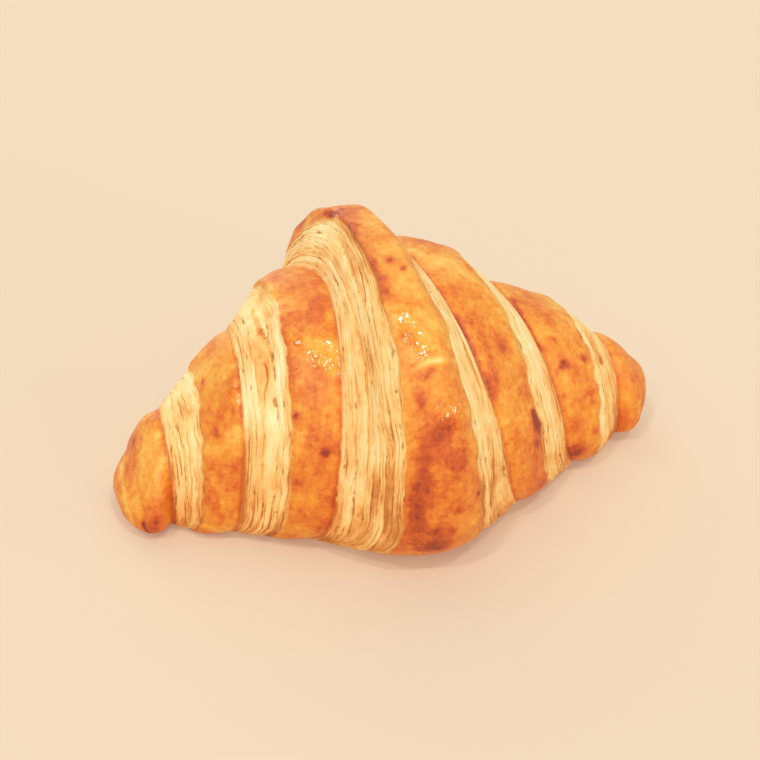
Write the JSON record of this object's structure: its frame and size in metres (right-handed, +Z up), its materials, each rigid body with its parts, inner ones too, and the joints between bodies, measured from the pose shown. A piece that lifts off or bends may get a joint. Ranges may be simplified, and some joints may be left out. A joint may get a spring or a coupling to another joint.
{
  "type": "croissant",
  "caption": "Plump butter croissant: a roll of layered dough with stepped wraps, a glossy browned crust and pale cut layers between, tapering to two rounded ends.",
  "frame": {"origin": "middle of the croissant's footprint, on the surface it rests on", "axes": "+X along the roll towards its right end, -Y towards the front, +Z up"},
  "size_m": [0.1362, 0.0902, 0.0669],
  "materials": {
    "crust": "satin, egg-washed golden brown crust with cream-yellow layers"
  },
  "bodies": {
    "root": {"croissant": "crust"}
  },
  "joints": []
}
